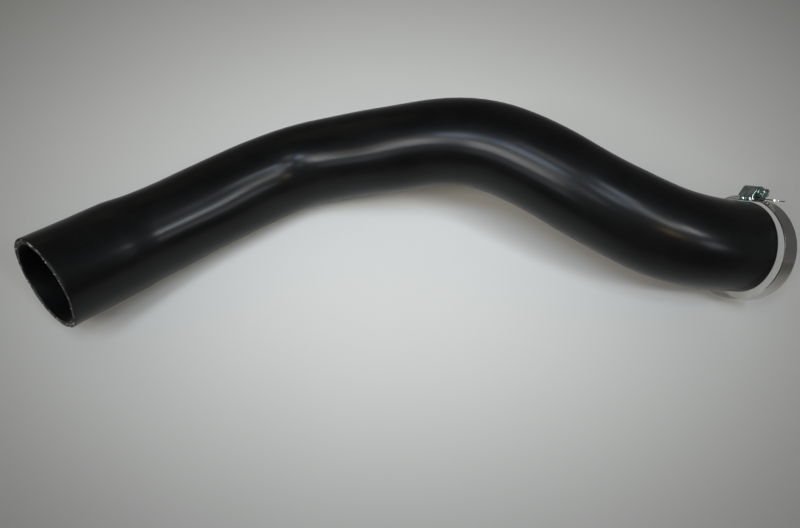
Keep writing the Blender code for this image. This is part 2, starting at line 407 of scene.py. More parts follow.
class Finish:
    """Starts a material and places the shared effects in it."""

    def __init__(self, name: str, effects: Effects) -> None:
        """Makes the material with its shader.

        Args:
            name: the material's name.
            effects: the shared effects.
        """
        self.material = bpy.data.materials.new(name)
        self.material.use_nodes = True
        self.wiring = Wiring(self.material.node_tree)
        self.shader = self.material.node_tree.nodes["Principled BSDF"]
        self.effects = effects

    def place(self) -> bpy.types.NodeSocket:
        """The point's place in metres."""
        return self.wiring.add("TexCoord").outputs["Object"]

    def laid(self) -> bpy.types.NodeSocket:
        """The point's place on the piece when that is laid out straight."""
        return self.wiring.add("Attribute", attribute_name=LAID).outputs["Vector"]

    def group(self, tree: bpy.types.NodeTree, **values: object) -> bpy.types.NodeSocket:
        """Places a shared effect, each input fed by a value or a socket, and returns its mask."""
        return self.wiring.add("Group", values, node_tree=tree).outputs["Mask"]

    def blotches(self, use: Blotch) -> bpy.types.NodeSocket:
        """Places the soft blotches over the piece and returns their mask."""
        values = {"Vector": self.place(), "Size": use.size, "Low": use.low, "High": use.high}
        return self.group(self.effects.blotches, **values)

    def lines(self, across: float, along: float) -> bpy.types.NodeSocket:
        """Places the fine lines along the piece as it is laid out straight, and returns their mask."""
        return self.group(self.effects.lines, Vector=self.laid(), Across=across, Along=along)

    def bump(self, height: bpy.types.NodeSocket, depth: float, strength: float,
             over: bpy.types.NodeSocket | None = None) -> bpy.types.NodeSocket:
        """Turns a height into a normal.

        Args:
            height: the height, from 0 to 1.
            depth: the distance in metres from height 0 to height 1.
            strength: how much of it shows.
            over: a normal that the height is added to.

        Returns:
            The normal.
        """
        feeds = {"Height": height, "Distance": depth, "Strength": strength}
        if over is not None:
            feeds["Normal"] = over
        return self.wiring.add("Bump", feeds).outputs[0]

    def feed(self, **values: object) -> bpy.types.Material:
        """Sets the shader's inputs.

        Args:
            values: for each input, with underscores for the spaces in its name, a value or a socket.

        Returns:
            The material.
        """
        for label, value in values.items():
            self.wiring.feed(self.shader.inputs[label.replace("_", " ")], value)
        return self.material


@dataclass(frozen=True)
class MouldedRubber:
    """Black rubber as it leaves its mould: satin, with fine marks along the hose and a little dust."""

    black: Colour = (0.0010, 0.0010, 0.0011)
    worn: Colour = (0.0054, 0.0054, 0.0055)
    worn_share: float = 0.6
    dust: Colour = (0.11, 0.105, 0.095)
    dusty: Blotch = Blotch(70.0, 0.56, 0.66)
    speck_size: float = 160.0
    speck_reach: float = 0.06
    line_across: float = 700.0
    line_along: float = 14.0
    line_depth: float = 0.06 * MM
    line_levels: tuple[float, float] = (0.25, 0.75)
    patches: Blotch = Blotch(26.0, 0.30, 0.72)
    grain: Blotch = Blotch(1900.0, 0.20, 0.80)
    grain_depth: float = 0.018 * MM
    relief: float = 0.5
    rough: float = 0.33
    rough_lines: float = 0.20
    rough_patches: float = 0.08
    specular: float = 0.08
    coat: tuple[float, float] = (0.23, 0.31)
    coat_rough: float = 0.21
    sheen: float = 0.08
    sheen_rough: float = 0.35
    sheen_tint: Colour = (1.0, 0.97, 0.93)

    def make(self, effects: Effects) -> bpy.types.Material:
        """Builds the material: a coat that is uneven along the lines lies over nearly dull rubber.

        Args:
            effects: the shared effects.

        Returns:
            The material.
        """
        finish = Finish("moulded_black_rubber", effects)
        wiring = finish.wiring
        lines = finish.lines(self.line_across, self.line_along)
        patches = finish.blotches(self.patches)
        specks = finish.group(effects.specks, Vector=finish.place(), Size=self.speck_size,
                              Reach=self.speck_reach)
        dusted = wiring.maths("MULTIPLY", specks, finish.blotches(self.dusty))
        colour = wiring.mix(wiring.maths("MULTIPLY", patches, self.worn_share), self.black, self.worn)
        rough = wiring.maths("MULTIPLY_ADD", lines, self.rough_lines, self.rough)
        rough = wiring.maths("MULTIPLY_ADD", patches, self.rough_patches, rough)
        normal = finish.bump(lines, self.line_depth, self.relief)
        normal = finish.bump(finish.blotches(self.grain), self.grain_depth, self.relief, normal)
        return finish.feed(Base_Color=wiring.mix(dusted, colour, self.dust), Roughness=rough, Normal=normal,
                           Specular_IOR_Level=self.specular,
                           Coat_Weight=wiring.ramp(lines, *self.line_levels, *self.coat),
                           Coat_Roughness=self.coat_rough, Sheen_Weight=self.sheen,
                           Sheen_Roughness=self.sheen_rough, Sheen_Tint=self.sheen_tint)


@dataclass(frozen=True)
class CutRubber:
    """The knife-cut end of the wall: matt rubber with the yarn of its reinforcement in two rings."""

    rubber: Colour = (0.0075, 0.0075, 0.0074)
    yarn: Colour = (0.26, 0.24, 0.20)
    yarn_share: float = 0.85
    ring_half: float = 0.42 * MM
    dash_levels: tuple[float, float] = (0.16, 0.30)
    present: Blotch = Blotch(210.0, 0.40, 0.58)
    grain: Blotch = Blotch(1500.0, 0.25, 0.75)
    grain_depth: float = 0.10 * MM
    relief: float = 0.7
    rough: float = 0.62
    rough_yarn: float = 0.25
    specular: float = 0.2

    def make(self, effects: Effects, rings: tuple[float, ...], yarns: int) -> bpy.types.Material:
        """Builds the material: dashes round each ring, which come and go with the blotches.

        Args:
            effects: the shared effects.
            rings: radius of each ring of yarn.
            yarns: number of yarns in a ring.

        Returns:
            The material.
        """
        finish = Finish("cut_black_rubber", effects)
        wiring = finish.wiring
        laid = finish.laid()
        apart = wiring.add("SeparateXYZ", {0: laid})
        turned = wiring.maths("ARCTAN2", apart.outputs[1], apart.outputs[0])
        radius = wiring.length(wiring.vector("MULTIPLY", laid, (1.0, 1.0, 0.0)))
        dashes = wiring.maths("PINGPONG", wiring.maths("MULTIPLY", turned, yarns / TURN), 0.5)
        dashes = wiring.ramp(dashes, *self.dash_levels)
        mask = 0.0
        for ring in rings:
            off = wiring.maths("ABSOLUTE", wiring.maths("SUBTRACT", radius, ring))
            mask = wiring.maths("MAXIMUM", mask, wiring.ramp(off, self.ring_half, 0.0))
        mask = wiring.maths("MULTIPLY", mask, wiring.maths("MULTIPLY", dashes, finish.blotches(self.present)))
        height = wiring.maths("ADD", finish.blotches(self.grain), mask)
        colour = wiring.mix(wiring.maths("MULTIPLY", mask, self.yarn_share), self.rubber, self.yarn)
        rough = wiring.maths("MULTIPLY_ADD", mask, self.rough_yarn, self.rough)
        return finish.feed(Base_Color=colour, Roughness=rough, Specular_IOR_Level=self.specular,
                           Normal=finish.bump(height, self.grain_depth, self.relief))


@dataclass(frozen=True)
class Yarn:
    """Pale polyester yarn, a little soiled by the knife."""

    clean: Colour = (0.62, 0.57, 0.46)
    soiled: Colour = (0.14, 0.125, 0.10)
    soil: Blotch = Blotch(260.0, 0.36, 0.62)
    fibres: Blotch = Blotch(6000.0, 0.30, 0.70)
    fibre_depth: float = 0.03 * MM
    relief: float = 0.6
    rough: float = 0.85
    sheen: float = 0.2

    def make(self, effects: Effects) -> bpy.types.Material:
        """Builds the material.

        Args:
            effects: the shared effects.

        Returns:
            The material.
        """
        finish = Finish("pale_yarn", effects)
        colour = finish.wiring.mix(finish.blotches(self.soil), self.clean, self.soiled)
        normal = finish.bump(finish.blotches(self.fibres), self.fibre_depth, self.relief)
        return finish.feed(Base_Color=colour, Roughness=self.rough, Normal=normal, Sheen_Weight=self.sheen)


@dataclass(frozen=True)
class RolledSteel:
    """Bright stainless strip, rolled along its length, with a few handling smears."""

    bright: Colour = (0.63, 0.615, 0.585)
    dull: Colour = (0.50, 0.475, 0.43)
    dull_share: float = 0.7
    smears: Blotch = Blotch(95.0, 0.42, 0.70)
    line_across: float = 5200.0
    line_along: float = 40.0
    line_depth: float = 0.012 * MM
    relief: float = 0.35
    rough: float = 0.06
    rough_lines: float = 0.14
    rough_smears: float = 0.10

    def make(self, effects: Effects) -> bpy.types.Material:
        """Builds the material.

        Args:
            effects: the shared effects.

        Returns:
            The material.
        """
        finish = Finish("rolled_stainless_steel", effects)
        wiring = finish.wiring
        lines = finish.lines(self.line_across, self.line_along)
        smears = finish.blotches(self.smears)
        colour = wiring.mix(wiring.maths("MULTIPLY", smears, self.dull_share), self.bright, self.dull)
        rough = wiring.maths("MULTIPLY_ADD", lines, self.rough_lines, self.rough)
        rough = wiring.maths("MULTIPLY_ADD", smears, self.rough_smears, rough)
        return finish.feed(Base_Color=colour, Metallic=1.0, Roughness=rough,
                           Normal=finish.bump(lines, self.line_depth, self.relief))


@dataclass(frozen=True)
class ZincPlate:
    """Bright zinc plate with a green-blue tint that comes and goes."""

    tinted: Colour = (0.36, 0.50, 0.47)
    plain: Colour = (0.62, 0.66, 0.64)
    clouds: Blotch = Blotch(220.0, 0.38, 0.62)
    grain: Blotch = Blotch(2600.0, 0.30, 0.70)
    grain_depth: float = 0.012 * MM
    relief: float = 0.4
    rough: float = 0.17
    rough_clouds: float = 0.10

    def make(self, effects: Effects) -> bpy.types.Material:
        """Builds the material.

        Args:
            effects: the shared effects.

        Returns:
            The material.
        """
        finish = Finish("zinc_plated_steel", effects)
        clouds = finish.blotches(self.clouds)
        rough = finish.wiring.maths("MULTIPLY_ADD", clouds, self.rough_clouds, self.rough)
        normal = finish.bump(finish.blotches(self.grain), self.grain_depth, self.relief)
        return finish.feed(Base_Color=finish.wiring.mix(clouds, self.tinted, self.plain), Metallic=1.0,
                           Roughness=rough, Normal=normal)


@dataclass(frozen=True)
class TableTop:
    """A pale, smooth table top that barely shines, with a painted pool of light fading to painted shade."""

    # pale is the colour of the painted pool of light in the middle; shade is the painted shade it fades to at
    # the rim
    pale: Colour = (0.845, 0.835, 0.80)
    shade: Colour = (0.092, 0.083, 0.074)
    depth: float = 0.508
    slope: float = 0.581
    middle: tuple[float, float, float] = (0.0, 0.066, 0.0)
    reach: tuple[float, float, float] = (0.704, 0.655, 1.0)
    clouds: Blotch = Blotch(3.5, 0.30, 0.70)
    cloud_share: float = 0.03
    merge_from: float = 0.65
    merge_to: float = 2.2
    rough: float = 0.42

    def make(self, effects: Effects) -> bpy.types.Material:
        """Builds the material.

        The colour is a painted pool of light that fades into painted shade: the pale middle fades by
        e to the power of minus the squared distance from it, counted in reaches along x and y. The
        spot widens with y, because both are first divided by the depth plus the slope times y. Far
        from the object the table takes the backdrop's colour, by a smooth step of the distance from
        the origin, which leaves only a faint line at its rim.

        Args:
            effects: the shared effects.

        Returns:
            The material.
        """
        finish = Finish("table_top_painted_light_pool", effects)
        wiring = finish.wiring
        apart = wiring.add("SeparateXYZ", {0: finish.place()})
        widened = wiring.maths("MULTIPLY_ADD", apart.outputs[1], self.slope, self.depth)
        off = wiring.vector("SUBTRACT", wiring.vector("DIVIDE", finish.place(), widened), self.middle)
        off = wiring.length(wiring.vector("DIVIDE", off, self.reach))
        # share of the painted pool of light: 1 in the middle, falling towards the painted shade at the rim
        pale = wiring.maths("EXPONENT", wiring.maths("MULTIPLY", wiring.maths("MULTIPLY", off, off), -1.0))
        clouds = wiring.maths("MULTIPLY_ADD", finish.blotches(self.clouds), -self.cloud_share, 1.0)
        colour = wiring.mix(wiring.maths("MULTIPLY", pale, clouds), self.shade, self.pale)
        far = wiring.ramp(wiring.length(finish.place()), self.merge_from, self.merge_to)
        glow = wiring.mix(wiring.maths("MULTIPLY", far, wiring.seen()), BLACK, BACKDROP)
        return finish.feed(Base_Color=colour, Roughness=self.rough, Emission_Color=glow,
                           Emission_Strength=1.0)


@dataclass(frozen=True)
class ClampSizes:
    """Sizes of the worm-drive clamp, and how it hangs on the hose."""

    hose_r: float
    seat_turn: float = radians(43)
    past_cut: float = 1.2 * MM
    swing: float = radians(8.5)
    slack: float = 3.9 * MM
    gap: float = 0.3 * MM
    width: float = 12.0 * MM
    thickness: float = 0.8 * MM
    bend_r: float = 20 * MM
    tail_length: float = 18 * MM
    tip_corner_r: float = 4 * MM
    ramp_angle: float = radians(30)
    slot_count: int = 24
    slot_pitch: float = 3.0 * MM
    slot_width: float = 1.4 * MM
    slot_reach: float = 8.0 * MM
    slot_slant: float = 0.12
    slot_to_tip: float = 6.0 * MM
    sheet: float = 0.8 * MM
    housing_length: float = 12 * MM
    worm_r: float = 3.3 * MM
    neck_r: float = 2.2 * MM
    collar_lip: float = 0.3 * MM
    collar_thickness: float = 1.0 * MM
    head_across: float = 6.0 * MM
    head_height: float = 4.0 * MM
    tip: float = 0.6 * MM
    driver_width: float = 1.0 * MM
    driver_depth: float = 1.3 * MM

    @property
    def band_r(self) -> float:
        """Radius of the middle of the band's round part."""
        return self.hose_r + self.slack + self.thickness / 2

    @property
    def flat_half(self) -> float:
        """Half the length of the flat under the housing."""
        return self.housing_length / 2 + self.gap

    @property
    def flat_y(self) -> float:
        """Height of the flat over the clamp's middle: where the bends meet the round part."""
        return self.bend_r + sqrt((self.band_r - self.bend_r) ** 2 - self.flat_half ** 2)

    @property
    def bend_turn(self) -> float:
        """Angle that each bend beside the flat turns through."""
        return atan2(self.flat_half, self.flat_y - self.bend_r)

    @property
    def lap(self) -> float:
        """Rise from the band's inner layer to its outer layer."""
        return self.thickness + self.gap

    @property
    def saddle_top_y(self) -> float:
        """Top of the housing's floor."""
        return self.flat_y - self.thickness / 2 - self.gap

    @property
    def saddle_y(self) -> float:
        """Underside of the housing."""
        return self.saddle_top_y - self.sheet

    @property
    def lap_top_y(self) -> float:
        """Top of the band's outer layer in the housing."""
        return self.flat_y + self.lap + self.thickness / 2

    @property
    def head_corner_r(self) -> float:
        """Radius over the corners of the screw's head."""
        return self.head_across / sqrt(3)

    @property
    def collar_r(self) -> float:
        """Radius of the screw's collar."""
        return max(self.head_corner_r, self.worm_r) + self.collar_lip

    @property
    def screw_y(self) -> float:
        """Height of the screw's axis over the clamp's middle."""
        return self.lap_top_y + self.gap + self.collar_r

    @property
    def drop(self) -> float:
        """How far the clamp's middle hangs below the hose's."""
        return self.saddle_y - self.hose_r - self.gap


@dataclass(frozen=True)
class OutletAim:
    """Which way the outlet points."""

    heading: float = radians(5.7)
    dip: float = radians(14.0)

    def directions(self) -> tuple[Array, Array, Array]:
        """Works out the outlet's own directions from its heading and dip.

        Returns:
            The ways out along the hose, up square to it, and level to its far side, at length 1.
        """
        level = np.array([cos(self.heading), sin(self.heading), 0.0])
        out = cos(self.dip) * level - sin(self.dip) * UP
        far = unit(np.cross(UP, out))
        return out, np.cross(out, far), far


class ClampSeat:
    """The clamp's own axes: x along its tail, y out through its housing, z back along the hose."""

    def __init__(self, screw_point: Array, aim: OutletAim, sizes: ClampSizes) -> None:
        """Finds the axes and the clamp's middle from the point that its screw turns about.

        Args:
            screw_point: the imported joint's place, on the screw's axis over the clamp's middle.
            aim: which way the outlet points.
            sizes: the clamp's sizes.
        """
        out, up, far = aim.directions()
        self.through = up * cos(sizes.seat_turn) + far * sin(sizes.seat_turn)
        square_tail = np.cross(out, self.through)
        axis = out * cos(sizes.swing) - square_tail * sin(sizes.swing)
        self.tail = np.cross(axis, self.through)
        self.back = -axis
        self.middle = screw_point - sizes.screw_y * self.through
        self.outlet = self.middle - out * sizes.past_cut + self.through * sizes.drop

    def place(self, local: Array) -> Array:
        """Carries points from the clamp's own axes into the frame."""
        axes = np.stack([self.tail, self.through, self.back])
        return self.middle + local @ axes


@dataclass
class HoseRoute:
    """The middle line of the hose: a cubic B-spline that rounds a few corners.

    A mirrored corner beyond each end makes the line start and finish on its end corners.
    """

    outlet: Array
    aim: OutletAim
    hose_r: float
    outlet_plan: tuple[float, float] = (254.5 * MM, -12.5 * MM)
    outlet_run: float = 60 * MM
    corners: tuple[tuple[float, float, float], ...] = (
        (-245.5 * MM, -55.0 * MM, 19.0 * MM),
        (-219.5 * MM, -23.0 * MM, 7.5 * MM),
        (-172.5 * MM, 17.0 * MM, 0.0),
        (-124.0 * MM, 54.0 * MM, 0.0),
        (-78.0 * MM, 82.0 * MM, 0.0),
        (-6.0 * MM, 71.5 * MM, 23.5 * MM),
        (64.5 * MM, 70.0 * MM, 43.0 * MM),
        (129.5 * MM, 20.5 * MM, 35.5 * MM),
    )
    steps: int = 80
    dense: Array = field(init=False)
    travelled: Array = field(init=False)

    def __post_init__(self) -> None:
        """Works out a dense line of points and how far along it each lies.

        Each point is the weighted sum of four corners in a row, with the cubic B-spline weights.
        """
        shift = np.array([self.outlet[0] - self.outlet_plan[0], self.outlet[1] - self.outlet_plan[1], 0.0])
        plan = np.array(self.corners) + np.array([0.0, 0.0, self.hose_r]) + shift
        last_bend = self.outlet - self.aim.directions()[0] * self.outlet_run
        net = np.vstack([plan, last_bend, self.outlet])
        net = np.vstack([2 * net[0] - net[1], net, 2 * net[-1] - net[-2]])
        t = np.linspace(0, 1, self.steps, endpoint=False)[:, None]
        weights = np.hstack([(1 - t) ** 3, 3 * t ** 3 - 6 * t ** 2 + 4,
                             -3 * t ** 3 + 3 * t ** 2 + 3 * t + 1, t ** 3]) / 6
        fours = np.stack([net[i:len(net) - 3 + i] for i in range(4)], axis=1)
        line = np.einsum("sk,nkc->nsc", weights, fours).reshape(-1, 3)
        self.dense = np.vstack([line, self.outlet])
        pieces = np.linalg.norm(np.diff(self.dense, axis=0), axis=1)
        self.travelled = np.concatenate([[0.0], np.cumsum(pieces)])

    @property
    def length(self) -> float:
        """Length of the middle line."""
        return float(self.travelled[-1])

    def at(self, along: Array) -> tuple[Array, Array, Array, Array]:
        """Places and directions at distances along the line.

        Args:
            along: distances from the cuff's mouth.

        Returns:
            The points, and there the way along, the level side and the upper side, all at length 1.
        """
        def pick(values: Array) -> Array:
            """Reads what is known along the dense line at the given distances."""
            return np.stack([np.interp(along, self.travelled, values[:, i]) for i in range(3)], axis=-1)

        way = unit(pick(unit(np.gradient(self.dense, self.travelled, axis=0))))
        side = unit(np.cross(way, UP))
        return pick(self.dense), way, side, np.cross(side, way)


@dataclass
class Hose:
    """The moulded hose: one rubber wall with an open bore, a wider cuff and two cut ends."""

    bore_r: float = 29.5 * MM
    wall: float = 4.5 * MM
    cuff_extra_r: float = 1.2 * MM
    cuff_length: float = 56 * MM
    cuff_taper: float = 23 * MM
    rim_r: float = 0.5 * MM
    columns: int = 112
    outer_step: float = 2.0 * MM
    bore_step: float = 4.0 * MM
    rim_rows: int = 5
    rim_cut_from: float = pi / 3
    face_rows: int = 12
    yarn_count: int = 84
    yarn_depths: tuple[float, ...] = (1.1 * MM, 2.7 * MM)
    knife_waves: tuple[tuple[int, float, float, float], ...] = (
        (3, 900.0, 0.10 * MM, 0.0),
        (11, 0.0, 0.05 * MM, 1.3),
    )
    waves: tuple[tuple[int, float, float, float], ...] = (
        (2, 0.115, 0.16 * MM, 0.4),
        (3, 0.071, 0.10 * MM, 1.9),
        (1, 0.052, 0.07 * MM, 4.1),
        (4, 0.160, 0.08 * MM, 2.6),
        (5, 0.090, 0.05 * MM, 5.2),
        (7, 0.240, 0.04 * MM, 0.9),
    )

    @property
    def outer_r(self) -> float:
        """Outer radius of the plain hose."""
        return self.bore_r + self.wall

    def flare(self, along: Array) -> Array:
        """Extra radius of the cuff: whole up to its length, then falling smoothly over its taper."""
        return self.cuff_extra_r * (1 - smooth_step((along - self.cuff_length) / self.cuff_taper))

    def waviness(self, turned: Array, along: Array) -> Array:
        """Unevenness of the moulded wall: a sum of sines, each of a number of lobes and a wavelength."""
        return sum(height * np.sin(lobes * turned + TURN * along / wavelength + phase)
                   for lobes, wavelength, height, phase in self.waves)

    def knife(self, turned: Array, depth: Array) -> Array:
        """Unevenness of a cut face: a sum of sines, each of a number of lobes and turned with the depth."""
        return sum(height * np.sin(lobes * turned + twist * depth + phase)
                   for lobes, twist, height, phase in self.knife_waves)

    def section(self, length: float) -> tuple[Array, Array, Array]:
        """Rows of the wall: out along it, over the outlet's rim, back through the bore, over the cuff's.

        A rim is a quarter circle at each edge of a flat cut face, and its last rows before the flat
        belong to the cut.

        Args:
            length: length of the hose.

        Returns:
            For each row its distance along the hose, its depth under the outer surface, and whether
            it lies on a cut face.
        """
        rim = self.rim_r
        quarter = np.linspace(0, pi / 2, self.rim_rows)
        outer = np.arange(rim, length - rim, self.outer_step)[1:]
        bore = np.arange(length - rim, rim, -self.bore_step)[1:]
        face = np.linspace(rim, self.wall - rim, self.face_rows)[1:-1]
        edge_in = rim * (1 - np.sin(quarter))
        edge_deep = rim * (1 - np.cos(quarter))
        end_along = np.concatenate([edge_in, np.zeros(len(face)), edge_in[::-1]])
        end_depth = np.concatenate([edge_deep, face, self.wall - edge_deep[::-1]])
        cut_rim = quarter > self.rim_cut_from
        on_face = np.concatenate([cut_rim, np.ones(len(face), bool), cut_rim[::-1]])
        along = np.concatenate([outer, length - end_along, bore, end_along[::-1]])
        depth = np.concatenate([np.zeros_like(outer), end_depth, np.full_like(bore, self.wall),
                                end_depth[::-1]])
        cut_face = np.concatenate([np.zeros_like(outer, bool), on_face, np.zeros_like(bore, bool),
                                   on_face[::-1]])
        return along, depth, cut_face

    def build(self, route: HoseRoute, skin: bpy.types.Material,
              cut_end: bpy.types.Material) -> bpy.types.Object:
        """Builds the wall: rows of the section carried round the middle line.

        Each point lies at its row's place on the line, plus its radius times cosine of the turn
        along the level side and sine of the turn along the upper side.

        Args:
            route: the hose's middle line.
            skin: finish of the moulded surface and the bore.
            cut_end: finish of the cut faces.

        Returns:
            The piece.
        """
        along, depth, on_face = self.section(route.length)
        turned = TURN * np.arange(self.columns) / self.columns
        point, way, side, up = (values[:, None, :] for values in route.at(along))
        t, s = turned[None, :], along[:, None]
        radius = self.outer_r + self.flare(s) - depth[:, None] + self.waviness(t, s)
        outward = np.where(s > route.length / 2, 1.0, -1.0) * on_face[:, None]
        points = point + (outward * self.knife(t, depth[:, None]))[..., None] * way
        points = points + radius[..., None] * (np.cos(t)[..., None] * side + np.sin(t)[..., None] * up)
        laid = np.stack([radius * np.cos(t), radius * np.sin(t), np.broadcast_to(s, radius.shape)], axis=-1)
        faces = grid_faces(len(along), self.columns, True, True)
        mesh = mesh_from("hose_wall", points, faces, laid)
        piece = show(mesh, skin)
        mesh.materials.append(cut_end)
        rows = on_face | np.roll(on_face, -1)
        mesh.polygons.foreach_set("material_index", np.repeat(rows, self.columns).astype(np.int32))
        return piece


@dataclass
class YarnEnds:
    """The cut ends of the yarn: tufts of short tapering strands that stand out of both cut faces."""

    hose: Hose
    seed: int = 7
    lobes: tuple[int, int] = (4, 7)
    ripples: int = 11
    least_kept: float = 0.12
    more_kept: float = 0.8
    strands: int = 7
    sides: int = 6
    tuft_r: float = 0.40 * MM
    tuft_depth: float = 0.14 * MM
    sunk: float = 0.4 * MM
    reach: float = 1.1 * MM
    least_reach: float = 0.25
    short_bias: float = 1.5
    splay: float = 0.5 * MM
    strand_r: float = 0.15 * MM
    taper: tuple[float, ...] = (0.0, 1.0, 1.0, 0.85, 0.6, 0.0)
    tip: float = 0.3

    def tufts(self, route: HoseRoute, end: float, outwards: float, depth: float,
              random: np.random.Generator) -> tuple[Array, ...]:
        """Scatters the strands of one ring of yarn over one cut face.

        A yarn frays by a half plus half the product of two sines of its turn. It keeps its tuft
        where a random number is under the least share plus more of the fraying squared.

        Args:
            route: the hose's middle line.
            end: where along the hose the face is.
            outwards: 1 or -1, for the way out of the face along the line.
            depth: the ring's depth under the outer surface.
            random: the source of random numbers.

        Returns:
            For each strand its start, the way out, the ways across and round the wall, its length
            and its bend.
        """
        hose = self.hose
        point, way, side, up = (values[0] for values in route.at(np.array([end])))
        turned = TURN * (np.arange(hose.yarn_count) + 0.5) / hose.yarn_count
        phase, lobes = random.random() * TURN, random.integers(*self.lobes)
        frayed = 0.5 + 0.5 * np.sin(lobes * turned + phase) * np.sin(self.ripples * turned + 2 * phase)
        kept = random.random(hose.yarn_count) < self.least_kept + self.more_kept * frayed ** 2
        frayed, turned = np.repeat(frayed[kept], self.strands), np.repeat(turned[kept], self.strands)
        count = len(turned)
        turned = turned + random.normal(0, self.tuft_r / hose.outer_r, count)
        radial = np.cos(turned)[:, None] * side + np.sin(turned)[:, None] * up
        round_way = np.cross(way, radial)
        radius = hose.outer_r + hose.flare(np.array(end)) - depth + random.normal(0, self.tuft_depth, count)
        start = point + radius[:, None] * radial - outwards * self.sunk * way
        share = (self.least_reach + frayed) * random.random(count) ** self.short_bias
        lean = random.normal(0, self.splay, (count, 2))
        bend = lean[:, :1] * radial + lean[:, 1:] * round_way
        way_out = np.broadcast_to(outwards * way, start.shape)
        return start, way_out, radial, round_way, self.sunk + self.reach * share, bend

    def build(self, route: HoseRoute, finish: bpy.types.Material) -> bpy.types.Object:
        """Builds the strands, each a tube round the line start + length times t out + bend times t squared.

        Args:
            route: the hose's middle line.
            finish: the yarn's finish.

        Returns:
            The piece.
        """
        random = np.random.default_rng(self.seed)
        rings = [self.tufts(route, end, outwards, depth, random)
                 for end, outwards in ((0.0, -1.0), (route.length, 1.0)) for depth in self.hose.yarn_depths]
        start, way, first, second, length, bend = (np.concatenate(values) for values in zip(*rings))
        rows = len(self.taper)
        t = np.linspace(0, 1, rows)[None, :, None]
        line = start[:, None] + length[:, None, None] * way[:, None] * t + bend[:, None] * t ** 2
        line[:, 0] = line[:, 1]
        line[:, -1] = line[:, -2] + self.tip * (line[:, -2] - line[:, -3])
        around = TURN * np.arange(self.sides)[:, None] / self.sides
        ring = np.cos(around) * first[:, None, None] + np.sin(around) * second[:, None, None]
        thick = self.strand_r * np.array(self.taper)[None, :, None, None]
        faces = repeat_faces(grid_faces(rows, self.sides, False, True), len(start), rows * self.sides)
        return show(mesh_from("yarn_ends", line[:, :, None] + thick * ring, faces), finish)


